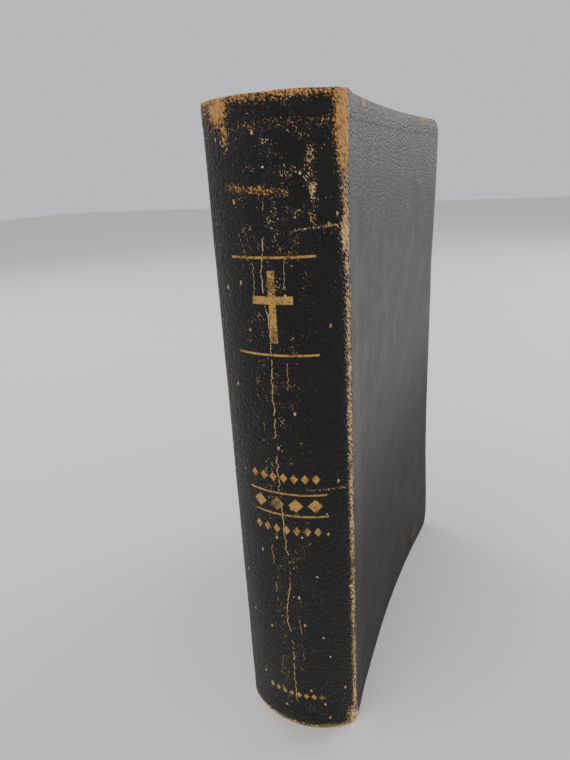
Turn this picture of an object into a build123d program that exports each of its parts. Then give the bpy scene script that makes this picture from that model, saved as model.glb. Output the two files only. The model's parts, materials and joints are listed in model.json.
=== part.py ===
"""A leather-bound Bible standing on its tail edge, in millimetres.

+Z runs from the tail (bottom edge) to the head, the spine faces -Y and the front cover faces +X.
The origin is at the bottom centre of the overall box.
"""

from build123d import *
from math import hypot, sqrt
import os

# Overall sizes
HEIGHT = 197.0  # tail to head of the covers
REACH = 126.0  # spine shoulder to the fore edge of the covers
WIDTH = 38.8  # over both covers at the shoulders
SPINE_BULGE = 10.2  # how far the spine rounds out past the shoulders
SHOULDER_RADIUS = 5.0
COVER_BOW = 2.8  # how far each cover hollows inwards at its middle
CORNER_RADIUS = 9.0  # outer corners of the covers

# Sheet thicknesses
LEATHER = 0.9
BOARD = 1.0
TURNED_LEATHER = 0.6  # pared edge of the leather, folded over inside
ENDPAPER = 0.25
MULL = 0.4  # glued gauze on the back of the pages
TAPE = 0.3  # linen tapes that the signatures are sewn to

# Cover details
TURN_IN = 12.0  # width of the folded-over leather
JOINT_GAP = 0.3  # spine leather and cover leather each stop this far from the hinge line
HINGE_Y = 0.9  # hinge line of a cover, past the shoulder line
HINGE_PROUD = 0.3  # hinge line stands outside the leather
BOARD_START = 4.0  # boards begin this far past the shoulder line

# Page block
SQUARE = 3.5  # cover overhang at head and tail
FORE_SQUARE = 4.0  # cover overhang at the fore edge
GROUPS = 4  # page groups that turn separately
SIGNATURES_PER_GROUP = 7
FORE_THINNING = 1.1  # each half of the pages falls this far short at the fore edge
FOLD_ROUND = 0.35  # depth of the rounded back fold of a signature
TAPES = 4
TAPE_WIDTH = 9.0
TAPE_END = 24.0  # head or tail edge to the middle of the nearest tape
BAND_RADIUS = 0.9

# Clearances
LEAF_GAP = 0.12  # page block to flyleaf
COVER_GAP = 0.15  # flyleaf to cover
GUTTER_GAP = 0.16  # between neighbouring page groups
TAPE_GAP = 0.05  # tapes to the mull and to the folds
BAND_GAP = 0.05  # head band to the pages
SPINE_HINGE_PROUD = 0.25  # a gutter's hinge line stands this far outside the spine leather

HALF = WIDTH / 2
COVER = LEATHER + BOARD + TURNED_LEATHER
Y_SHIFT = (SPINE_BULGE - REACH) / 2  # shoulder line to the centre of the box

# The spine's rounded outline is a wide central arc with a small arc at each shoulder, tangent to it.
ROUND_RADIUS = ((HALF - SHOULDER_RADIUS) ** 2 + SPINE_BULGE**2 - SHOULDER_RADIUS**2) / (
    2 * (SPINE_BULGE - SHOULDER_RADIUS)
)
ROUND_Y = ROUND_RADIUS - SPINE_BULGE  # centre of the central arc
# Unit vector from that centre to where the two arcs meet
LEAN_X = (HALF - SHOULDER_RADIUS) / (ROUND_RADIUS - SHOULDER_RADIUS)
LEAN_Y = -ROUND_Y / (ROUND_RADIUS - SHOULDER_RADIUS)

# A cover's outline is one long arc, hollow on the outside.
BOW_RADIUS = ((REACH / 2) ** 2 + COVER_BOW**2) / (2 * COVER_BOW)
BOW_X = HALF - COVER_BOW + BOW_RADIUS

# Layers behind the spine leather, as depths from its outside
MULL_DEPTH = LEATHER + MULL
TAPE_DEPTH = MULL_DEPTH + TAPE_GAP
FOLD_DEPTH = TAPE_DEPTH + TAPE + TAPE_GAP

# Outer face of the page block, as a depth from the outside of the cover
BLOCK_DEPTH = COVER + COVER_GAP + ENDPAPER + LEAF_GAP
BLOCK_HALF = HALF - BLOCK_DEPTH


def cover_x(y, depth):
    """Half width of the cover's arc at y, at a depth under its outside."""
    return BOW_X - sqrt((BOW_RADIUS + depth) ** 2 - (y - REACH / 2) ** 2)


def back_y(x, depth):
    """Where the central arc of the spine passes x, at a depth under the leather's outside."""
    return ROUND_Y - sqrt((ROUND_RADIUS - depth) ** 2 - x**2)


PAGE_WIDTH = REACH - FORE_SQUARE - back_y(BLOCK_HALF, FOLD_DEPTH)
MIDDLE_HALF = cover_x(REACH / 2, BLOCK_DEPTH) - FORE_THINNING / 2
FORE_HALF = cover_x(REACH - FORE_SQUARE, BLOCK_DEPTH) - FORE_THINNING


def block(lower, upper, y0, y1):
    """A tall slab used to keep one range of x and y."""
    return Pos((lower + upper) / 2, (y0 + y1) / 2, HEIGHT / 2) * Box(upper - lower, y1 - y0, HEIGHT * 2)


def prism(edges, z0, z1):
    return Pos(0, 0, z0) * extrude(make_face(edges), z1 - z0)


def placed(shape, name):
    """Moves a shape from the shoulder line's frame to the part's frame and writes it."""
    solid = Pos(0, Y_SHIFT, 0) * shape
    solid.label = name
    export_step(solid, f"parts/{name}.step")


# Covers


def cover_slab(depth0, depth1, y0, y1, z0, z1):
    """A curved sheet between two depths under the outside of the front cover."""
    middle = (y0 + y1) / 2
    outer = [(cover_x(y, depth0), y) for y in (y0, middle, y1)]
    inner = [(cover_x(y, depth1), y) for y in (y1, middle, y0)]
    return prism(
        [
            ThreePointArc(*outer),
            Line(outer[-1], inner[0]),
            ThreePointArc(*inner),
            Line(inner[-1], outer[0]),
        ],
        z0,
        z1,
    )


def rounded_outline(y0, inset):
    """A wide block whose two fore edge corners are rounded, seen from the cover's side."""
    fore, low, high = REACH - inset, inset, HEIGHT - inset
    radius = CORNER_RADIUS - inset
    body = Pos(HALF / 2, (y0 + fore) / 2, HEIGHT / 2) * Box(WIDTH, fore - y0, high - low)
    corners = body.edges().filter_by(Axis.X).group_by(Axis.Y)[-1]
    return fillet(corners, radius)


def front_cover_leather():
    start = HINGE_Y + JOINT_GAP
    skin = cover_slab(0, COVER, start, REACH, 0, HEIGHT) & rounded_outline(start, 0)
    skin -= board_pocket()
    skin -= cover_slab(LEATHER + BOARD, COVER + 1, start - 1, REACH - TURN_IN, TURN_IN, HEIGHT - TURN_IN)
    return skin - cover_slab(LEATHER, COVER + 1, start - 1, BOARD_START, TURN_IN, HEIGHT - TURN_IN)


def board_pocket():
    return cover_slab(LEATHER, LEATHER + BOARD, BOARD_START, REACH - LEATHER, LEATHER, HEIGHT - LEATHER) & (
        rounded_outline(BOARD_START, LEATHER)
    )


def front_pastedown():
    return cover_slab(
        LEATHER + BOARD,
        LEATHER + BOARD + ENDPAPER,
        HINGE_Y + JOINT_GAP,
        REACH - TURN_IN,
        TURN_IN,
        HEIGHT - TURN_IN,
    )


def front_flyleaf():
    """The free endpaper, against the page block."""
    inner = side_points(1, LEAF_GAP)
    outer = side_points(1, LEAF_GAP + ENDPAPER)[::-1]
    return prism(
        [ThreePointArc(*inner), Line(inner[-1], outer[0]), ThreePointArc(*outer), Line(outer[-1], inner[0])],
        SQUARE,
        HEIGHT - SQUARE,
    )


# Page block


def fore_y(share):
    """Fore edge of the leaf that lies at this share of the block's half thickness."""
    return back_y(abs(share) * BLOCK_HALF, FOLD_DEPTH) + PAGE_WIDTH


FLYLEAF_Y = 3.0  # hinge line of a flyleaf, past the shoulder line


def side_points(share, extra=0.0, y0=FLYLEAF_Y):
    """Three points of the arc that the leaf at this share follows from y0 to its fore edge."""
    arc = ThreePointArc(
        (share * BLOCK_HALF + extra, 0),
        (share * MIDDLE_HALF + extra, REACH / 2),
        (share * FORE_HALF + extra, fore_y(share)),
    )
    if y0 == 0:
        return [arc @ 0, arc @ 0.5, arc @ 1]
    along = y0 / fore_y(share)
    return [arc @ along, arc @ ((1 + along) / 2), arc @ 1]


def signature(share0, share1):
    """One folded section: rounded at its back fold and trimmed along the hollow fore edge."""
    backs = [share0 * BLOCK_HALF, share1 * BLOCK_HALF]
    folds = [(x, back_y(x, FOLD_DEPTH) + FOLD_ROUND) for x in backs]
    apex = (sum(backs) / 2, back_y(sum(backs) / 2, FOLD_DEPTH))
    left, right = side_points(share0, y0=0), side_points(share1, y0=0)
    return prism(
        [
            ThreePointArc(folds[0], apex, folds[1]),
            Line(folds[1], right[0]),
            ThreePointArc(*right) if share1 else Line(right[0], right[-1]),
            Line(right[-1], left[-1]),
            ThreePointArc(*left[::-1]) if share0 else Line(left[-1], left[0]),
            Line(left[0], folds[0]),
        ],
        SQUARE,
        HEIGHT - SQUARE,
    )


def group_shares(group):
    """Where the signatures of a page group meet, from front to back, as shares of the half thickness."""
    trim = GUTTER_GAP / 2 / BLOCK_HALF
    high = 1 - 2 * (group - 1) / GROUPS
    low = 1 - 2 * group / GROUPS
    high -= trim if group > 1 else 0
    low += trim if group < GROUPS else 0
    step = (high - low) / SIGNATURES_PER_GROUP
    return [high - n * step for n in range(SIGNATURES_PER_GROUP + 1)]


# Spine


def spine_side(depth, end):
    """Points of the right half of the spine's outline, from the end past the shoulder to the apex."""
    radius = SHOULDER_RADIUS - depth
    meet = ((ROUND_RADIUS - depth) * LEAN_X, ROUND_Y + (ROUND_RADIUS - depth) * LEAN_Y)
    size = hypot(1 + LEAN_X, LEAN_Y)
    middle = (HALF - SHOULDER_RADIUS + radius * (1 + LEAN_X) / size, radius * LEAN_Y / size)
    return [(HALF - depth, end), (HALF - depth, 0), middle, meet]


def spine_shell(depth0, depth1, z0, z1, end=HINGE_Y - JOINT_GAP):
    """The rounded sheet between two depths under the outside of the spine leather."""
    edges = []
    for depth in (depth0, depth1):
        side = spine_side(depth, end)
        other = [(-x, y) for x, y in side]
        for run in (side, other):
            edges += [Line(run[0], run[1]), ThreePointArc(*run[1:])]
        edges += [ThreePointArc(side[-1], (0, depth - SPINE_BULGE), other[-1])]
    for sign in (1, -1):
        edges += [Line((sign * (HALF - depth0), end), (sign * (HALF - depth1), end))]
    return prism(edges, z0, z1)


def group_slab(group):
    """The range of x that belongs to a page group at the spine."""
    pitch = 2 * BLOCK_HALF / GROUPS
    high = HALF if group == 1 else BLOCK_HALF - (group - 1) * pitch - GUTTER_GAP / 2
    low = -HALF if group == GROUPS else BLOCK_HALF - group * pitch + GUTTER_GAP / 2
    return block(low, high, -SPINE_BULGE, SHOULDER_RADIUS)


def spine_leather():
    skin = spine_shell(0, LEATHER, 0, HEIGHT)
    for z in (0, HEIGHT - TURN_IN):
        skin += spine_shell(LEATHER, LEATHER + TURNED_LEATHER, z, z + TURN_IN)
    return skin


def spine_mull():
    return spine_shell(LEATHER, MULL_DEPTH, TURN_IN, HEIGHT - TURN_IN)


def ring(depth, section_radius, z, reach):
    """A round cord that follows the spine's central arc, out to x = reach on both sides."""
    path = Pos(0, 0, z) * ThreePointArc(*[(x, back_y(x, depth)) for x in (reach, 0, -reach)])
    plane = Plane(origin=path @ 0, z_dir=path % 0)
    return sweep(plane * Circle(section_radius), path)


def sewing_tapes():
    """The linen tapes across the folds, evenly spaced up the spine."""
    step = (HEIGHT - 2 * TAPE_END) / (TAPES - 1)
    inner = [(x, back_y(x, TAPE_DEPTH + TAPE)) for x in (BLOCK_HALF, 0, -BLOCK_HALF)]
    outer = [(x, back_y(x, TAPE_DEPTH)) for x in (-BLOCK_HALF, 0, BLOCK_HALF)]
    tape = prism(
        [ThreePointArc(*inner), Line(inner[-1], outer[0]), ThreePointArc(*outer), Line(outer[-1], inner[0])],
        TAPE_END - TAPE_WIDTH / 2,
        TAPE_END + TAPE_WIDTH / 2,
    )
    return Compound([Pos(0, 0, n * step) * tape for n in range(TAPES)])


def end_band(z):
    """A sewn band over the back edge of the pages, at the head or the tail."""
    return ring(FOLD_DEPTH + BAND_RADIUS, BAND_RADIUS, z, BLOCK_HALF - BAND_RADIUS)


def split(shape, group):
    """What one page group carries of a piece that crosses the whole spine."""
    pieces = [s & group_slab(group) for s in shape.solids()]
    solids = [s for piece in pieces for s in piece.solids()]
    return solids[0] if len(solids) == 1 else Compound(solids)


def mirrored(shape):
    return mirror(shape, Plane.YZ)


os.makedirs("parts", exist_ok=True)

for name, shape in (
    ("cover_leather", front_cover_leather()),
    ("board", board_pocket()),
    ("pastedown", front_pastedown()),
    ("flyleaf", front_flyleaf()),
):
    placed(shape, f"front_{name}")
    placed(mirrored(shape), f"back_{name}")

BAND_LIFT = BAND_GAP + BAND_RADIUS  # height of a band's centre off the pages
spine_pieces = {
    "spine_leather": spine_leather(),
    "spine_mull": spine_mull(),
    "sewing_tapes": sewing_tapes(),
    "head_band": end_band(HEIGHT - SQUARE + BAND_LIFT),
    "tail_band": end_band(SQUARE - BAND_LIFT),
}
for group in range(1, GROUPS + 1):
    for name, shape in spine_pieces.items():
        placed(split(shape, group), f"{name}_{group}")
    shares = group_shares(group)
    for n in range(SIGNATURES_PER_GROUP):
        number = (group - 1) * SIGNATURES_PER_GROUP + n + 1
        placed(signature(shares[n + 1], shares[n]), f"signature_{number:02d}")

print("page width", round(PAGE_WIDTH, 2), "page height", HEIGHT - 2 * SQUARE)
print("shoulder hinge x, y", round(HALF + HINGE_PROUD, 3), round(HINGE_Y + Y_SHIFT, 3))
quarter = 2 * BLOCK_HALF / GROUPS
for x in (quarter, 0):
    print("gutter hinge x, y", round(x, 3), round(back_y(x, -SPINE_HINGE_PROUD) + Y_SHIFT, 3))
flyleaf_x = side_points(1, LEAF_GAP + ENDPAPER / 2)[0].X
print("flyleaf hinge x, y", round(flyleaf_x, 3), round(FLYLEAF_Y + Y_SHIFT, 3))
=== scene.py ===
"""A worn black leather bible, standing closed: looks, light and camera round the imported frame."""

import json
import math
import random

import bmesh
import bpy
from mathutils import Euler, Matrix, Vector, noise


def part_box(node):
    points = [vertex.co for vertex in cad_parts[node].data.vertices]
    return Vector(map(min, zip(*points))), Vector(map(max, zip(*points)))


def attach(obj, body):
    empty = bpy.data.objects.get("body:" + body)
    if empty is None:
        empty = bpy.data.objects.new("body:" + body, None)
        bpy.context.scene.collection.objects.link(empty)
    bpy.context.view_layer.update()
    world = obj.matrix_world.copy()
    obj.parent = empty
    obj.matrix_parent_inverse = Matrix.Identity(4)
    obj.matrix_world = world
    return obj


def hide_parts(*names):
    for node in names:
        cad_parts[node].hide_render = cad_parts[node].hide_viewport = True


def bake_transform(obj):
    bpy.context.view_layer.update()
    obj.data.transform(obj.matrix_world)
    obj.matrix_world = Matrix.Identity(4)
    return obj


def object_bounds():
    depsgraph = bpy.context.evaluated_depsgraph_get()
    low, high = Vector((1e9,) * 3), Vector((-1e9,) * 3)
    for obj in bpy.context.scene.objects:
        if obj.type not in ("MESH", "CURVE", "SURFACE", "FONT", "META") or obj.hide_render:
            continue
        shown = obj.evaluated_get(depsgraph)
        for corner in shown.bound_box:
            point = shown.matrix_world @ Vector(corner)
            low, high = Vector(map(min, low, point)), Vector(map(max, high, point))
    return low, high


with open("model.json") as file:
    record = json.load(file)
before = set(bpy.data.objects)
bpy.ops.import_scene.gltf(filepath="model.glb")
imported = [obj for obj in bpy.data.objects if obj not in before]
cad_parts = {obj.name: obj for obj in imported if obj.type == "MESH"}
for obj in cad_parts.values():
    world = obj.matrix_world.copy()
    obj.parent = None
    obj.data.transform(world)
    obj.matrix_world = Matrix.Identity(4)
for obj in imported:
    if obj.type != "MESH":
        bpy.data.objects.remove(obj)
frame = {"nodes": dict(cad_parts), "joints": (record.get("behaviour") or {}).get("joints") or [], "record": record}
cad_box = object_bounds()

MM = 0.001

# Places read from the frame
HINGES = {joint["name"]: joint for joint in frame["joints"]}
LOW, HIGH = cad_box
HEIGHT = HIGH.z
HALF = HIGH.x
FORE = HIGH.y
HINGE_Y = HINGES["front_cover_hinge"]["pos_m"][1]
HINGE_INSET = 0.9 * MM
GUTTER_X = HINGES["gutter_1"]["pos_m"][0]
GUTTERS = {1: GUTTER_X, 2: 0, 3: -GUTTER_X}
SHOULDER_Y = HINGE_Y - HINGE_INSET
BULGE = SHOULDER_Y - LOW.y
REACH = FORE - SHOULDER_Y
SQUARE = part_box("signature_14")[0].z
BLOCK_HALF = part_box("signature_01")[1].x

# The binding's outline and the layers of its covers
SHOULDER_RADIUS = 5 * MM
COVER_BOW = 2.8 * MM
CORNER_RADIUS = 9 * MM
COVER_THICK = 2.5 * MM
SPINE_THICK = 0.9 * MM
HEAD_THICK = 1.5 * MM
TURN_IN = 12 * MM
WINDOW_START = 1.2 * MM
WINDOW_DEEP = 0.6 * MM
EDGE_ROUND = 0.9 * MM
HEAD_DROP = 0.5 * MM
DROP_FROM, DROP_TO = -1 * MM, 7 * MM
DROP_TALL = 25 * MM
CURL_OUT = 1.1 * MM
CURL_IN = 0.2 * MM
CURL_START = 0.45
EDGE_ROLL = 0.45 * MM
ROLL_WIDTH = 4.5 * MM
INSIDE_CALM = 0.85
RIDGE_ROWS = [row * MM for row in (5.2, 5.6, 6.0, 6.4)]
RIDGE_LIFT = 0.11 * MM
WAVE_LIFT, WAVE_SIZE = 0.16 * MM, 26 * MM
DIMPLE_LIFT, DIMPLE_SIZE = 0.07 * MM, 8 * MM
FRAY, FRAY_SIZE = 0.2 * MM, 5 * MM
STEP_HALF = 1 * MM
THIN_FROM, THIN_TO = -3 * MM, -1 * MM
THICKEN_FROM, THICKEN_TO = 1.6 * MM, 4.6 * MM

SHOULDER_X = HALF - SHOULDER_RADIUS
ROUND_RADIUS = (SHOULDER_X**2 + BULGE**2 - SHOULDER_RADIUS**2) / (2 * (BULGE - SHOULDER_RADIUS))
ROUND_Y = ROUND_RADIUS - BULGE
LEAN = math.asin(SHOULDER_X / (ROUND_RADIUS - SHOULDER_RADIUS))
BOW_RADIUS = ((REACH / 2) ** 2 + COVER_BOW**2) / (2 * COVER_BOW)
BOW_X = HALF - COVER_BOW + BOW_RADIUS

# Distances along the leather from the middle of the spine
ARC_END = ROUND_RADIUS * LEAN
SHOULDER = ARC_END + SHOULDER_RADIUS * (math.pi / 2 - LEAN)
EDGE = SHOULDER + REACH
OUTER_SEAM = SHOULDER + WINDOW_START - TURN_IN
INNER_SEAM = 4.1 * MM

# The leaves, from their folds to the hollow fore edge
GROUPS = 4
SIGNATURES = 7
PACKS = 5
FOLD_DEPTH = 1.7 * MM
FOLD_ROUND = 0.35 * MM
FORE_SQUARE = 4 * MM
BLOCK_DEPTH = HALF - BLOCK_HALF
LEAF_MIDDLE = BOW_X - BOW_RADIUS - BLOCK_DEPTH - 0.6 * MM
LEAF_FORE = BLOCK_HALF - 1.5 * MM
LEAF_STEPS = 18
GROUP_GAP = 0.08 * MM
PACK_START, PACK_END = 0.03, 0.97
PACK_ROUND = 0.1 * MM
BACK_GAP = 0.02 * MM
FORE_SLIP, TAIL_SLIP, HEAD_SLIP = 0.22 * MM, 0.12 * MM, 0.16 * MM

# The folded leaf at the bottom of a gutter
FOLD_STEPS = 28
FOLD_BEND, FOLD_SIDE = 0.3, 0.2
FOLD_RADIUS = 0.03 * MM
FOLD_THICK = 0.04 * MM
FOLD_CLEAR = 0.1 * MM
FOLD_END = 1 * MM
FOLD_INSET = 0.2 * MM

# The sewn bands at the head and the tail
BAND_RADIUS = 0.85 * MM
BAND_LIFT = 0.05 * MM
BAND_FACETS = 14
BAND_STEP = 0.22 * MM
BAND_TURN = 0.66 * MM
BAND_RIPPLE = 0.06
BAND_TIP = 0.04

# Distances to each side of a joint, not used to bend any piece
GUTTER_ZONE = 2 * MM
FOLD_ZONE = 0.06 * MM

# The frame's spine pieces and end bands that the piece over each gutter replaces
COVERED = {1: (1, 2), 2: (3,), 3: (4,)}

# How finely the leather is divided
CORNER_STEPS = 14
EDGE_STEPS = 4
HIDE_STEP = 3 * MM
HIDE_RISE = 3.5 * MM
BEND_REACH = 4 * MM
BEND_STEP = 0.4 * MM

# An edge sharper than this is shaded as a crease
CREASE = math.radians(50)

# Tolerances, in metres
WELD = 1e-7
CLOSE = 1e-6
CLEAR = 1e-4


def smooth(value, low, high):
    share = min(1, max(0, (value - low) / (high - low)))
    return share * share * (3 - 2 * share)


def wrinkle(along, z, scale, seed=0.0):
    """A smooth random height between about -1 and 1 that changes over the given distance."""
    return noise.noise(Vector((along / scale, z / scale, seed)))


# Shapes


def surface(along):
    """The point and the outward direction of the binding's outside, along the leather."""
    side = 1 if along >= 0 else -1
    run = abs(along)
    if run < ARC_END:
        turn = run / ROUND_RADIUS
        point = (ROUND_RADIUS * math.sin(turn), ROUND_Y - ROUND_RADIUS * math.cos(turn))
        out = (math.sin(turn), -math.cos(turn))
    elif run < SHOULDER:
        turn = LEAN + (run - ARC_END) / SHOULDER_RADIUS
        point = (SHOULDER_X + SHOULDER_RADIUS * math.sin(turn), -SHOULDER_RADIUS * math.cos(turn))
        out = (math.sin(turn), -math.cos(turn))
    else:
        turn = math.asin((run - SHOULDER - REACH / 2) / BOW_RADIUS)
        point = (BOW_X - BOW_RADIUS * math.cos(turn), REACH / 2 + BOW_RADIUS * math.sin(turn))
        out = (math.cos(turn), -math.sin(turn))
    return Vector((side * point[0], SHOULDER_Y + point[1], 0)), Vector((side * out[0], out[1], 0))


def thickness(along, z):
    """Share of a cover's thickness that the leather has here: thin over the spine, turned in at its ends."""
    at_end = 1 - smooth(min(z, HEIGHT - z), TURN_IN - STEP_HALF, TURN_IN + STEP_HALF)
    spine = SPINE_THICK + (HEAD_THICK - SPINE_THICK) * at_end
    run = abs(along)
    spine -= (spine - SPINE_THICK) * 0.6 * smooth(run, SHOULDER + THIN_FROM, SHOULDER + THIN_TO)
    joint = smooth(run, SHOULDER + THICKEN_FROM, SHOULDER + THICKEN_TO)
    return (spine + (COVER_THICK - spine) * joint) / COVER_THICK


def swell(along, z):
    """How far the outside of the leather lies off the plain outline."""
    run = abs(along)
    lift = WAVE_LIFT * wrinkle(along, z, WAVE_SIZE) + DIMPLE_LIFT * wrinkle(along, z, DIMPLE_SIZE, 3.0)
    fore = smooth(run, SHOULDER + REACH * CURL_START, EDGE)
    height = abs(2 * z / HEIGHT - 1)
    lift += fore * (CURL_OUT * smooth(height, 0.35, 1.0) - CURL_IN * (1 - smooth(height, 0.0, 0.9)))
    lift -= EDGE_ROLL * smooth(run, EDGE - ROLL_WIDTH, EDGE)
    ridge = min(z, HEIGHT - z)
    if run > SHOULDER:
        ridge = min(ridge, EDGE - run)
    lift += RIDGE_LIFT * (1 - smooth(ridge, RIDGE_ROWS[0], RIDGE_ROWS[-1]))
    return lift


def wrap(mesh):
    """Bends a flat hide round the binding, and keeps its flat places: along the leather, up and outwards."""
    place = mesh.verts.layers.float_vector.new("hide")
    for vert in mesh.verts:
        along, z, out = vert.co
        vert[place] = (along, z, out)
        point, normal = surface(along)
        calm = 1 - INSIDE_CALM * smooth(-out, 0, COVER_THICK)
        depth = out * thickness(along, z) + swell(along, z) * calm
        drop = HEAD_DROP * smooth(abs(along), SHOULDER + DROP_FROM, SHOULDER + DROP_TO)
        drop += FRAY * max(0, wrinkle(along, z, FRAY_SIZE, 7.0))
        z -= drop * smooth(z, HEIGHT - DROP_TALL, HEIGHT)
        vert.co = point + normal * depth + Vector((0, 0, z))


def cut(mesh, place, axis):
    """Divides every face that the plane at this place along an axis crosses."""
    direction = [0, 0, 0]
    direction[axis] = 1
    point = [0, 0, 0]
    point[axis] = place
    everything = mesh.verts[:] + mesh.edges[:] + mesh.faces[:]
    bmesh.ops.bisect_plane(mesh, geom=everything, plane_co=point, plane_no=direction, dist=WELD)


def finished(mesh, name, material):
    """Turns a bmesh into a shaded object."""
    bmesh.ops.remove_doubles(mesh, verts=mesh.verts, dist=WELD)
    bmesh.ops.recalc_face_normals(mesh, faces=mesh.faces)
    for face in mesh.faces:
        face.smooth = True
    for edge in mesh.edges:
        edge.smooth = edge.calc_face_angle(0) < CREASE
    data = bpy.data.meshes.new(name)
    mesh.to_mesh(data)
    mesh.free()
    data.materials.append(material)
    piece = bpy.data.objects.new(name, data)
    bpy.context.scene.collection.objects.link(piece)
    return piece


def spaced(low, high, step):
    """Even places between low and high, about a step apart, without the two ends."""
    count = max(1, round((high - low) / step))
    return [low + (high - low) * n / count for n in range(1, count)]


def hide(low, high, name, material, free_end=0, window=False):
    """One piece of the binding's leather between two distances along it; a free end has round corners."""
    mesh = bmesh.new()
    bmesh.ops.create_grid(mesh, x_segments=1, y_segments=1, size=0.5)
    bmesh.ops.scale(mesh, vec=(high - low, HEIGHT, 1), verts=mesh.verts)
    bmesh.ops.translate(mesh, vec=((low + high) / 2, HEIGHT / 2, 0), verts=mesh.verts)
    if free_end:
        corners = [v for v in mesh.verts if abs(v.co.x - (high if free_end > 0 else low)) < CLOSE]
        bmesh.ops.bevel(mesh, geom=corners, offset=CORNER_RADIUS, offset_type="OFFSET",
                        segments=CORNER_STEPS, profile=0.5, affect="VERTICES", material=-1)
    inner = bmesh.ops.extrude_face_region(mesh, geom=mesh.faces[:])
    down = [v for v in inner["geom"] if isinstance(v, bmesh.types.BMVert)]
    bmesh.ops.translate(mesh, vec=(0, 0, -COVER_THICK), verts=down)
    bmesh.ops.recalc_face_normals(mesh, faces=mesh.faces)
    seams = [low, high] if not free_end else [low if free_end > 0 else high]
    rim = [
        edge
        for edge in mesh.edges
        if abs(edge.verts[0].co.z - edge.verts[1].co.z) < CLOSE
        and not any(all(abs(v.co.x - seam) < CLOSE for v in edge.verts) for seam in seams)
    ]
    bmesh.ops.bevel(mesh, geom=rim, offset=EDGE_ROUND, offset_type="OFFSET",
                    segments=EDGE_STEPS, profile=0.5, affect="EDGES", material=-1)
    if window:
        under = max((f for f in mesh.faces if f.normal.z < -0.9), key=lambda f: f.calc_area())
        bmesh.ops.inset_individual(mesh, faces=[under], thickness=TURN_IN - EDGE_ROUND, use_even_offset=True)
        by_joint = [v for v in under.verts if abs(v.co.x) < SHOULDER + 3 * MM]
        for vert in by_joint:
            vert.co.x = math.copysign(SHOULDER + WINDOW_START, vert.co.x)
        sunk = bmesh.ops.extrude_face_region(mesh, geom=[under])
        up = [v for v in sunk["geom"] if isinstance(v, bmesh.types.BMVert)]
        bmesh.ops.translate(mesh, vec=(0, 0, WINDOW_DEEP), verts=up)
        bmesh.ops.delete(mesh, geom=[under], context="FACES_ONLY")
    for place in spaced(low, high, HIDE_STEP):
        cut(mesh, place, 0)
    for hinge in (SHOULDER, GUTTER_X, 0, -GUTTER_X, -SHOULDER):
        for place in spaced(hinge - BEND_REACH, hinge + BEND_REACH, BEND_STEP):
            if low + CLEAR < place < high - CLEAR:
                cut(mesh, place, 0)
    for place in spaced(0, HEIGHT, HIDE_RISE):
        cut(mesh, place, 1)
    for row in RIDGE_ROWS:
        cut(mesh, row, 1)
        cut(mesh, HEIGHT - row, 1)
    wrap(mesh)
    return finished(mesh, name, material)


def back_y(x, depth):
    """Where the rounded back lies at x, this deep under the outside of the spine."""
    return SHOULDER_Y + ROUND_Y - math.sqrt((ROUND_RADIUS - depth) ** 2 - x * x)


PAGE_WIDTH = FORE - FORE_SQUARE - back_y(BLOCK_HALF, FOLD_DEPTH)


def leaf_x(share, y, fore):
    """Where the leaf at this share of the block's half thickness lies at y, if its fore edge is at fore."""
    along = max(0, y - SHOULDER_Y) / (REACH / 2)
    end = (fore - SHOULDER_Y) / (REACH / 2)
    curve = ((LEAF_FORE - BLOCK_HALF) / end - (LEAF_MIDDLE - BLOCK_HALF)) / (end - 1)
    slope = LEAF_MIDDLE - BLOCK_HALF - curve
    return share * (BLOCK_HALF + slope * along + curve * along * along)


def sliced(mesh, verts, places):
    """Cuts the box that holds these vertices at places along y, and gives all its vertices."""
    for place in places:
        faces = {face for vert in verts for face in vert.link_faces}
        edges = {edge for face in faces for edge in face.edges}
        box = [*faces, *edges, *verts]
        made = bmesh.ops.bisect_plane(mesh, geom=box, plane_co=(0, place, 0), plane_no=(0, 1, 0), dist=WELD)
        verts = verts + [g for g in made["geom_cut"] if isinstance(g, bmesh.types.BMVert)]
    return verts


def page_group(number, material):
    """The leaves of one page group, in packs that are trimmed together and have slipped a little."""
    seed = random.Random(number)
    whole = bmesh.new()
    flat = whole.verts.layers.float_vector.new("flat")
    trim = GROUP_GAP / BLOCK_HALF
    high = 1 - 2 * (number - 1) / GROUPS - (trim if number > 1 else 0)
    low = 1 - 2 * number / GROUPS + (trim if number < GROUPS else 0)
    pitch = (high - low) / (SIGNATURES * PACKS)
    for pack in range(SIGNATURES * PACKS):
        near = low + pitch * (pack + PACK_START)
        far = low + pitch * (pack + PACK_END)
        centre = (near + far) / 2 * BLOCK_HALF
        turn = (pack % PACKS + 0.5) / PACKS * 2 - 1
        fold = back_y(centre, FOLD_DEPTH)
        back = fold + FOLD_ROUND * turn * turn + BACK_GAP
        fore = fold + PAGE_WIDTH - seed.uniform(0, FORE_SLIP) - PACK_ROUND * abs(turn)
        bottom = SQUARE + seed.uniform(0, TAIL_SLIP)
        top = HEIGHT - SQUARE - seed.uniform(0, HEAD_SLIP)
        box = bmesh.ops.create_cube(whole, size=1)["verts"]
        for vert in sliced(whole, box, spaced(-0.5, 0.5, 1 / LEAF_STEPS)):
            share = far if vert.co.x > 0 else near
            y = back + (fore - back) * (vert.co.y + 0.5)
            z = top if vert.co.z > 0 else bottom
            vert[flat] = (share * BLOCK_HALF, y, z)
            vert.co = (leaf_x(share, y, fore), y, z)
    return finished(whole, f"leaves_{number}", material)


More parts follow.
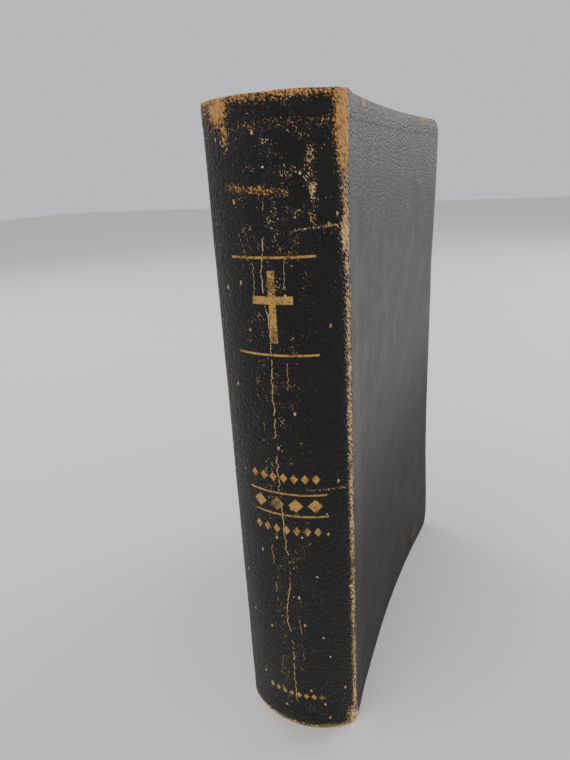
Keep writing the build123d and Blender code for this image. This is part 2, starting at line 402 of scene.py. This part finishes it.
def gutter_fold(number, x, material):
    """The folded leaf that joins two page groups at the bottom of their opening."""
    mesh = bmesh.new()
    floor = back_y(x, FOLD_DEPTH) + FOLD_CLEAR
    ends = SHOULDER_Y - FOLD_END
    foot = SQUARE + FOLD_INSET
    bmesh.ops.create_grid(mesh, x_segments=FOLD_STEPS, y_segments=1, size=0.5)
    inner = bmesh.ops.extrude_face_region(mesh, geom=mesh.faces[:])
    for vert in inner["geom"]:
        if isinstance(vert, bmesh.types.BMVert):
            vert.co.z = 1
    flat = mesh.verts.layers.float_vector.new("flat")
    for vert in mesh.verts:
        along, height, layer = vert.co
        offset = FOLD_RADIUS + FOLD_THICK * (1 - layer)
        turn = max(-1, min(1, along / FOLD_BEND)) * math.pi / 2
        rise = max(0, (abs(along) - FOLD_BEND) / FOLD_SIDE) * (ends - floor)
        z = foot + (HEIGHT - 2 * foot) * (height + 0.5)
        vert.co = (x + offset * math.sin(turn), floor - offset * math.cos(turn) + rise, z)
        vert[flat] = vert.co
    piece = finished(mesh, f"gutter_fold_{number}", material)
    f"page_group_{number + 1}"
    x + FOLD_ZONE
    x - FOLD_ZONE
    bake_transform(piece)


def end_band(number, x, low, high, z, material, place):
    """A sewn band over the backs of the pages, from one side of a gutter to the other."""
    mesh = bmesh.new()
    bmesh.ops.create_cone(mesh, cap_ends=True, segments=BAND_FACETS, radius1=1, radius2=1, depth=1)
    for level in spaced(-0.5, 0.5, BAND_STEP / (high - low)):
        cut(mesh, level, 2)
    flat = mesh.verts.layers.float_vector.new("flat")
    radius = ROUND_RADIUS - FOLD_DEPTH - BAND_RADIUS
    for vert in mesh.verts:
        across, up, share = vert.co
        along = low + (high - low) * (share + 0.5)
        size = BAND_RADIUS * (1 + BAND_RIPPLE * math.cos(2 * math.pi * along / BAND_TURN))
        end = min(along + BLOCK_HALF, BLOCK_HALF - along) / BAND_RADIUS
        size *= math.sqrt(max(BAND_TIP, 1 - (1 - min(1, end)) ** 2))
        turn = along / ROUND_RADIUS
        away = radius + across * size
        vert.co = (away * math.sin(turn), SHOULDER_Y + ROUND_Y - away * math.cos(turn), z + up * size)
        vert[flat] = (along, math.atan2(up, across) * BAND_RADIUS, 0)
    piece = finished(mesh, f"{place}_band_{number}_sewn", material)
    f"page_group_{number + 1}"
    x + GUTTER_ZONE
    x - GUTTER_ZONE
    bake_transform(piece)
    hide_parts(*[f"{place}_band_{n}" for n in COVERED[number]])


# Finishes

PAPER = (0.74, 0.66, 0.5)
AGED_PAPER = (0.66, 0.55, 0.37)
DIM_EDGE = (0.5, 0.36, 0.2)
LIT_EDGE = (0.66, 0.52, 0.32)
DIM_GOLD = (0.5, 0.32, 0.1)
LIT_GOLD = (0.74, 0.52, 0.2)
STRAW = (0.42, 0.3, 0.13)
RED_SILK = (0.2, 0.045, 0.035)
BLACK = (0.0052, 0.0051, 0.0054)
SOFT_BLACK = (0.0085, 0.008, 0.0078)
# Painted reflection: the brown-black that the covers are tinted with towards the tail
PAINTED_REFLECTION_BROWN = (0.014, 0.0102, 0.0085)
TAN = (0.56, 0.27, 0.075)
DARK_TAN = (0.3, 0.16, 0.06)
CREAM = (0.72, 0.5, 0.25)
GILT = (0.6, 0.36, 0.11)
CHALK = (0.8, 0.8, 0.78)


class Signal:
    """A number that varies over a surface, as an output of a node."""

    def __init__(self, finish, socket):
        self.finish = finish
        self.socket = socket

    def maths(self, operation, *others):
        sockets = dict(enumerate((self, *others)))
        return self.finish.node("ShaderNodeMath", {"operation": operation}, sockets)

    def flipped(self, operation, first):
        return self.finish.node("ShaderNodeMath", {"operation": operation}, {0: first, 1: self})

    def __add__(self, other):
        return self.maths("ADD", other)

    __radd__ = __add__

    def __mul__(self, other):
        return self.maths("MULTIPLY", other)

    __rmul__ = __mul__

    def __sub__(self, other):
        return self.maths("SUBTRACT", other)

    def __rsub__(self, other):
        return self.flipped("SUBTRACT", other)

    def __truediv__(self, other):
        return self.maths("DIVIDE", other)

    def __abs__(self):
        return self.maths("ABSOLUTE")

    def __or__(self, other):
        return self.maths("MAXIMUM", other)

    def to_and_fro(self, length):
        """Rises from 0 to this length and falls back again, over and over."""
        return self.maths("PINGPONG", length)

    def over(self, low, high):
        """Rises smoothly from 0 at low to 1 at high."""
        settings = {"interpolation_type": "SMOOTHSTEP"}
        sockets = {"Value": self, "From Min": low, "From Max": high}
        return self.finish.node("ShaderNodeMapRange", settings, sockets)

    def between(self, low, high, soft):
        return self.over(low - soft, low + soft) * (1 - self.over(high - soft, high + soft))


class Finish:
    """A material and the way its nodes are made."""

    def __init__(self, name, dimensions="3D", **constants):
        self.dimensions = dimensions
        self.material = bpy.data.materials.new(name)
        self.material.use_nodes = True
        self.tree = self.material.node_tree
        self.shader = self.tree.nodes["Principled BSDF"]
        for socket, value in constants.items():
            self.shader.inputs[socket.replace("_", " ")].default_value = value

    def node(self, kind, settings, sockets, output=0):
        made = self.tree.nodes.new(kind)
        for name, value in settings.items():
            setattr(made, name, value)
        for name, value in sockets.items():
            self.feed(made.inputs[name], value)
        return Signal(self, made.outputs[output])

    def feed(self, socket, value):
        if isinstance(value, Signal):
            self.tree.links.new(value.socket, socket)
        elif isinstance(value, tuple) and len(value) == 3 and socket.type == "RGBA":
            socket.default_value = (*value, 1)
        else:
            socket.default_value = value

    def set(self, name, value):
        self.feed(self.shader.inputs[name], value)

    def place(self, attribute=None):
        """Places on the piece in millimetres: its own flat places, or object coordinates."""
        if attribute:
            raw = self.node("ShaderNodeAttribute", {"attribute_name": attribute}, {}, "Vector")
        else:
            raw = self.node("ShaderNodeTexCoord", {}, {}, "Object")
        return self.node("ShaderNodeVectorMath", {"operation": "SCALE"}, {0: raw, "Scale": 1000.0})

    def axes(self, place):
        """The three numbers of a place."""
        made = self.node("ShaderNodeSeparateXYZ", {}, {0: place})
        return [Signal(self, output) for output in made.socket.node.outputs]

    def stretched(self, place, size, turn=0.0):
        """Coordinates for a pattern drawn out by size along its own axes, and turned in the x-y plane."""
        sockets = {"Vector": place, "Scale": size, "Rotation": (0, 0, turn)}
        return self.node("ShaderNodeMapping", {"vector_type": "TEXTURE"}, sockets)

    def noise(self, place, scale, detail=3.0, roughness=0.55):
        settings = {"noise_dimensions": self.dimensions}
        sockets = {"Vector": place, "Scale": scale, "Detail": detail, "Roughness": roughness}
        return self.node("ShaderNodeTexNoise", settings, sockets)

    def wander(self, value, scale, seed, detail=3.0):
        """A wavering line along one direction, between 0 and 1."""
        sockets = {"W": value + seed, "Scale": scale, "Detail": detail, "Roughness": 0.6}
        return self.node("ShaderNodeTexNoise", {"noise_dimensions": "1D"}, sockets)

    def cells(self, place, scale, feature="SMOOTH_F1"):
        settings = {"voronoi_dimensions": self.dimensions, "feature": feature}
        return self.node("ShaderNodeTexVoronoi", settings, {"Vector": place, "Scale": scale})

    def colour(self, share, first, second):
        return self.node("ShaderNodeMix", {"data_type": "RGBA"}, {0: share, 6: first, 7: second}, 2)

    def bump(self, height, distance):
        sockets = {"Height": height, "Distance": distance}
        self.set("Normal", self.node("ShaderNodeBump", {}, sockets))


def plain_finish(name, colour, other, rough):
    """A quiet fibrous finish for pieces inside the binding."""
    finish = Finish(name)
    place = finish.place()
    mottle = finish.noise(place, 0.12, 5.0)
    specks = finish.noise(place, 0.9, 4.0)
    fibres = finish.noise(finish.stretched(place, (1, 1, 3)), 2.5, 4.0)
    share = mottle.over(0.35, 0.7) * 0.7 + specks.over(0.62, 0.72) * 0.3
    finish.set("Base Color", finish.colour(share, colour, other))
    finish.set("Roughness", rough + 0.1 * fibres)
    finish.bump(fibres, 0.00004)
    return finish.material


def page_finish():
    """Leaves: plain paper on their faces and worn gilt on the trimmed edges."""
    finish = Finish("leaves")
    place = finish.place("flat")
    y = finish.axes(place)[1]
    facing = finish.axes(finish.node("ShaderNodeTexCoord", {}, {}, "Normal"))
    fore = facing[1].over(0.5, 0.6) * y.over(20, 30)
    trimmed = fore | abs(facing[2]).over(0.5, 0.6)
    leaves = finish.noise(finish.stretched(place, (0.11, 20, 20)), 1.0, 2.0, 0.7)
    rubbed = finish.noise(finish.stretched(place, (2, 1, 1)), 0.16, 5.0, 0.65)
    gilt = trimmed * (1 - (rubbed + 0.25 * leaves).over(0.55, 0.85) * 0.85)
    age = finish.noise(place, 0.05, 4.0).over(0.3, 0.75)
    paper = finish.colour(age, PAPER, AGED_PAPER)
    edge = finish.colour(leaves.over(0.35, 0.65), DIM_EDGE, LIT_EDGE)
    gold = finish.colour(leaves.over(0.3, 0.7), DIM_GOLD, LIT_GOLD)
    bare = finish.colour(trimmed, paper, edge)
    finish.set("Base Color", finish.colour(gilt, bare, gold))
    finish.set("Metallic", gilt * 0.75)
    finish.set("Roughness", 0.68 - 0.28 * gilt + 0.1 * leaves * trimmed)
    finish.bump(leaves * trimmed + 0.04 * fore, 0.00006)
    return finish.material


def band_finish():
    """Sewn silk in two faded colours."""
    finish = Finish("sewn_band", Sheen_Weight=0.3)
    along, around = finish.axes(finish.place("flat"))[:2]
    slant = along + 0.25 * around
    turn = BAND_TURN / MM
    stripe = abs(slant.to_and_fro(2 * turn) - turn)
    thread = slant.to_and_fro(turn / 4)
    colour = finish.colour(stripe.over(0.3, 0.36), STRAW, RED_SILK)
    finish.set("Base Color", colour)
    finish.set("Roughness", 0.5 + thread)
    finish.bump(thread * 6, 0.0001)
    return finish.material


def leather_finish():
    """Grained black leather, gilt on the spine and rubbed through to its tan core at the edges."""
    finish = Finish("worn_black_leather", "2D", Specular_IOR_Level=0.27)
    place = finish.place("hide")
    along, z, out = finish.axes(place)
    run = abs(along)
    top, edge, ridge = HEIGHT / MM, EDGE / MM, SHOULDER / MM
    on_spine = 1 - run.over(ridge - 2, ridge + 1)
    outside = out.over(-1.2, -0.8)
    front = along.over(-1, 1)

    # Grain: slanting and bold on the spine, fine and level on the covers
    slant = finish.stretched(place, (0.62, 1.5, 1), math.radians(34))
    bold = 1 - finish.cells(slant, 1.0)
    fine = 1 - finish.cells(finish.stretched(place, (1, 1.3, 1)), 1.7)
    broad = finish.noise(place, 0.09, 4.0)
    patchy = finish.noise(place, 0.22, 4.0, 0.6)
    frayed = finish.noise(slant, 2.0, 3.0, 0.65)
    streaks = finish.noise(finish.stretched(place, (1, 16, 1)), 1.0, 4.0, 0.6)

    def near(value, centre, width):
        """1 at the centre, falling to 0 at this distance from it."""
        return 1 - abs(value - centre).over(0, width)

    def patch(across, wide, height, tall, strength):
        """A rubbed patch round one place on the leather."""
        return near(along, across, wide) * near(z, height, tall) * strength

    # Where the leather has rubbed through
    high = z.over(160, 196)
    uneven = 0.45 + 1.05 * finish.wander(z, 0.08, 5.0, 3.0) + 0.08 * high
    joint = near(along, 21.7 - 0.9 * high, 2.6 + 2.6 * high) * (0.84 + 0.26 * high) * uneven
    rim_top = (near(z, top, 4.4) * 0.86 | near(z, top - 7, 3.5) * 0.46) * on_spine
    rim_low = near(z, 0, 3.4) * on_spine * 1.05
    corner = patch(-11.5, 7, top - 2, 8.5, 1.3) | patch(-10, 3.5, top - 8, 9, 0.85)
    corner = corner | patch(-18, 6, top, 9, 0.78)
    shoulder = near(along, -21.5, 2.2) * (0.5 + 0.6 * near(z, 178, 7))
    right_low = patch(21, 5.5, 2, 12, 1.15) | patch(12, 12, 0, 4.5, 0.9)
    nicks = near(run, ridge + 17, 5) | near(run, ridge + 98, 6)
    cover_rim = (near(z, top, 2.2) * 0.45 | near(z, top, 5.5) * nicks * 1.15) * (1 - on_spine)
    cover_tail = (near(z, 0, 1.6) * 0.75 | near(run, ridge + 102, 8) * near(z, 8, 8) * 0.52) * (1 - on_spine)
    fore_rim = near(run, edge, 1.6) * 0.36
    scuff = near(z + 0.1 * along, 175.5, 2.5) * along.between(-11, 8, 2) * 0.68
    cluster = (patchy + 0.25 * (broad - 0.5)).over(0.38, 0.68)
    flecks = on_spine * z.over(120, 165) * near(along, 4, 24) * (0.14 + 0.31 * cluster)
    clump = near(along, 12.8, 3.0) * z.between(166, 186, 5) * (0.45 + 0.3 * cluster)
    low_flecks = on_spine * near(along, 1, 20) * (0.08 + 0.28 * cluster)
    ruled = near(z - 0.06 * along, 165.5, 1.0) * along.between(7, 20, 2)
    ruled = ruled | near(z, 93.4, 0.9) * along.between(8, 20, 2)
    bruise = patch(21, 3.2, 164, 9, 1.1)
    worn = joint | rim_top | rim_low | ruled * 0.66 | bruise
    worn = worn | corner | shoulder | right_low
    worn = worn | cover_rim | cover_tail | fore_rim
    worn = worn | scuff | flecks | clump | low_flecks
    tatter = worn + (frayed - 0.5) * 2.4 + (patchy - 0.5) * 0.5 + (bold - 0.55) * 0.35
    bare = tatter.over(0.7, 0.8)

    # Cracks that wander down the middle of the spine
    crack = 0.0
    cracks = ((0.2, 3.0, 0.34, 0.42), (-3.6, 31.0, 0.22, 0.52), (4.4, 57.0, 0.2, 0.56))
    for centre, seed, width, gate in cracks:
        swing = finish.wander(z, 0.022, seed, 1.0) * 8 + finish.wander(z, 0.35, seed, 3.0) * 1.6
        broken = finish.wander(z, 0.07, seed + 9, 4.0).over(gate, gate + 0.05)
        mark = near(along - swing + 4.8, centre, width) * broken
        crack = mark | crack
    crack = crack * on_spine * (z.over(6, 14) * (1 - z.over(168, 178)))
    crack = crack * (frayed + 0.35 * patchy).over(0.48, 0.62)
    scratches = (along + 0.36 * z + 1.2 * patchy).to_and_fro(1.1)
    area = z.between(154, 169, 5) * along.between(-8, -1, 1.5)
    area = area | z.between(118, 129, 4) * along.between(-6, 2, 2)
    scratch = near(scratches, 0, 0.2) * area * (frayed + 0.4 * patchy).over(0.66, 0.74) * 0.8
    split = near(along + 1.5 * patchy, ridge + 14.5, 0.4) * z.between(180, 192, 3) * frayed.over(0.42, 0.5)
    crack = crack | scratch | split
    line = finish.node("ShaderNodeVectorMath", {"operation": "ADD"}, {0: place, 1: (13.0, 4.0, 0.0)})
    ragged = 0.05 * frayed
    chip = 1 - (finish.cells(finish.stretched(line, (12, 19, 1)), 1.0, "F1") + ragged).over(0.046, 0.066)
    bare = (bare | crack.over(0.3, 0.6) | chip * on_spine) * outside
    pale = finish.cells(finish.stretched(line, (17, 14, 1)), 1.0, "F1")
    white = (1 - pale.over(0.012, 0.022)) * outside * on_spine * along.over(-6, 2) * patchy.over(0.5, 0.54)

    # Gilt tooling on the spine
    def bar(left, right, low, top_end):
        return along.between(left, right, 0.12) * z.between(low, top_end, 0.12)

    def rule(right, low):
        return bar(-10.6, right, low, low + 0.6)

    def lozenges(left, right, height, pitch, wide, tall):
        step = (along - left).to_and_fro(pitch / 2)
        shape = (pitch / 2 - step) / wide + abs(z - height) / tall
        return (1 - shape.over(0.9, 1.05)) * along.between(left, right, 0.1)

    middle = 1.3
    cross = bar(middle - 1.0, middle + 1.0, 137.2, 156.2) | bar(middle - 5.6, middle + 5.6, 147.6, 149.7)
    rules = rule(13.2, 159.2) | rule(13.2, 133.6) | rule(14.2, 91.3) | rule(14.2, 84.1)
    small = lozenges(-9.9, 12.5, 96.8, 3.2, 1.25, 1.6) | lozenges(-9.9, 12.5, 79.2, 3.2, 1.25, 1.6)
    large = lozenges(-9.9, 13.3, 88.0, 5.8, 2.3, 2.3)
    foot = lozenges(-9.6, 11.2, 14.0, 2.6, 1.0, 1.3)
    gilt = cross | rules | small | large | foot
    rubbed = (frayed * 0.7 + patchy * 0.5).over(0.58, 0.72)
    gilt = gilt * (1 - rubbed * 0.9) * outside * (1 - crack)

    # Pressed lines
    dents = near(z, 162.4, 0.45) | near(z, 130.8, 0.4) | near(z, 128.6, 0.35)
    dents = (dents | near(z, 167.6, 0.3) | near(z, 93.6, 0.3) | near(z, 26.5, 0.35)) * on_spine

    # Colour, gloss and relief
    tone = finish.colour(broad.over(0.35, 0.7), BLACK, SOFT_BLACK)
    # Painted reflection: the covers turn brown-black towards the tail, standing in for a brown surface reflected
    # in them
    tone = finish.colour((1 - on_spine) * (1 - z.over(10, 90)) * 0.8, tone, PAINTED_REFLECTION_BROWN)
    ripe = (joint * (z + 40 * (patchy - 0.5)).over(158, 186)) | near(z, top, 14)
    ripe = ripe | near(z, 0, 4) * 0.25 | scuff * 0.9
    core = finish.colour(ripe.over(0.1, 0.6) * 0.92, CREAM, TAN)
    core = finish.colour(bold.over(0.35, 0.75), DARK_TAN, core)
    core = finish.colour(crack, core, CREAM)
    base = finish.colour(bare, tone, core)
    base = finish.colour(gilt, base, GILT)
    base = finish.colour(white, base, CHALK)
    rough = 0.47 - 0.05 * on_spine - 0.07 * near(run, ridge + 5, 9)
    rough = rough + 0.2 * (broad - 0.5) + 0.14 * (streaks - 0.5) - 0.04 * front * (1 - on_spine)
    rough = rough + 0.24 * (1 - on_spine) * (1 - (z + 20 * (broad - 0.5)).over(45, 120))
    rough = rough * (1 - bare) + 0.8 * bare
    finish.set("Base Color", base)
    finish.set("Metallic", gilt * 0.85)
    finish.set("Roughness", rough * (1 - gilt) + 0.4 * gilt)
    grain = 1.9 * bold * on_spine + 0.8 * fine * (1 - on_spine) + 0.4 * patchy
    relief = grain * (1 - 0.6 * bare) - 0.4 * bare - 1.4 * crack - 0.4 * gilt - 0.6 * dents
    finish.bump(relief, 0.0003)
    return finish.material


LEATHER = leather_finish()
LEAVES = page_finish()
BAND = band_finish()
SLOTS = {
    "board": plain_finish("grey_board", (0.36, 0.31, 0.23), (0.28, 0.23, 0.17), 0.75),
    "endpaper": plain_finish("endpaper", (0.66, 0.58, 0.44), (0.62, 0.53, 0.38), 0.7),
    "pages": plain_finish("pages", (0.72, 0.64, 0.48), (0.62, 0.5, 0.33), 0.65),
    "mull": plain_finish("mull", (0.6, 0.54, 0.42), (0.5, 0.43, 0.3), 0.8),
    "tape": plain_finish("tape", (0.66, 0.6, 0.47), (0.56, 0.49, 0.36), 0.8),
    "band": plain_finish("band", (0.5, 0.38, 0.18), (0.38, 0.26, 0.1), 0.5),
    "leather": plain_finish("raw_leather", (0.02, 0.018, 0.017), (0.03, 0.025, 0.02), 0.5),
}


def dress_frame():
    """Puts the quiet finishes on the frame's own pieces."""
    for subpart in frame["record"]["subparts"]:
        slots = frame["nodes"][subpart["node"]].data.materials
        slots.clear()
        slots.append(SLOTS[subpart["material_slot"]])


def make_binding():
    for name, side in (("front", 1), ("back", -1)):
        low, high = sorted((side * OUTER_SEAM, side * EDGE))
        skin = hide(low, high, f"{name}_cover_skin", LEATHER, side, window=True)
        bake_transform(skin)
        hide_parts(f"{name}_cover_leather")
    seams = (OUTER_SEAM, INNER_SEAM, -INNER_SEAM, -OUTER_SEAM)
    for number, x in GUTTERS.items():
        skin = hide(seams[number], seams[number - 1], f"spine_skin_{number}", LEATHER)
        f"page_group_{number + 1}"
        x + GUTTER_ZONE
        x - GUTTER_ZONE
        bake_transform(skin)
        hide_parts(*[f"spine_leather_{n}" for n in COVERED[number]])


def make_block():
    for number in range(1, GROUPS + 1):
        leaves = page_group(number, LEAVES)
        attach(leaves, f"page_group_{number}")
        first = (number - 1) * SIGNATURES + 1
        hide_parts(*[f"signature_{n:02d}" for n in range(first, first + SIGNATURES)])
    bounds = (BLOCK_HALF, INNER_SEAM, -INNER_SEAM, -BLOCK_HALF)
    lift = BAND_LIFT + BAND_RADIUS
    for number, x in GUTTERS.items():
        gutter_fold(number, x, LEAVES)
        for place, z in (("head", HEIGHT - SQUARE + lift), ("tail", SQUARE - lift)):
            end_band(number, x, bounds[number], bounds[number - 1], z, BAND, place)


def make_floor():
    bpy.ops.mesh.primitive_plane_add(size=6, location=(0, 0, 0))
    floor = bpy.context.object
    floor.name = "floor"
    finish = Finish("pale_floor", Roughness=0.75)
    finish.set("Base Color", (0.76, 0.74, 0.71))
    floor.data.materials.append(finish.material)


def add_lamp(name, place, aim, size, power):
    """A square light at this place, turned to face its aim."""
    data = bpy.data.lights.new(name, "AREA")
    data.size = size
    data.energy = power
    lamp = bpy.data.objects.new(name, data)
    lamp.location = place
    lamp.rotation_euler = (Vector(aim) - Vector(place)).to_track_quat("-Z", "Y").to_euler()
    bpy.context.scene.collection.objects.link(lamp)


def add_lights():
    world = bpy.data.worlds.new("studio")
    world.use_nodes = True
    background = world.node_tree.nodes["Background"]
    background.inputs["Color"].default_value = (0.95, 0.96, 1.0, 1)
    background.inputs["Strength"].default_value = 0.72
    bpy.context.scene.world = world
    add_lamp("window", place=(0.75, 0.9, 0.55), aim=(0, 0, 0.14), size=0.6, power=9)
    add_lamp("ceiling", place=(-0.2, -0.5, 1.2), aim=(0, 0, 0.1), size=0.7, power=4)
    add_lamp("side", place=(-0.9, 0.5, 0.8), aim=(0, 0, 0.17), size=0.5, power=4)


def add_camera():
    """Looks at the spine and the front cover from above and to the right, quite close."""
    data = bpy.data.cameras.new("camera")
    data.sensor_width = 36
    data.lens = 26.9
    camera = bpy.data.objects.new("camera", data)
    right, away, up = 0.3182 * HEIGHT, 0.7128 * HEIGHT, 0.9089 * HEIGHT
    camera.location = (right, SHOULDER_Y - away, up)
    look_down, look_left, lean = math.radians(70.05), math.radians(24.37), math.radians(-3.34)
    heading = Euler((look_down, 0, look_left)).to_matrix()
    camera.rotation_euler = (heading @ Euler((0, 0, lean)).to_matrix()).to_euler()
    bpy.context.scene.collection.objects.link(camera)
    bpy.context.scene.camera = camera


dress_frame()
make_binding()
make_block()
make_floor()
add_lights()
add_camera()
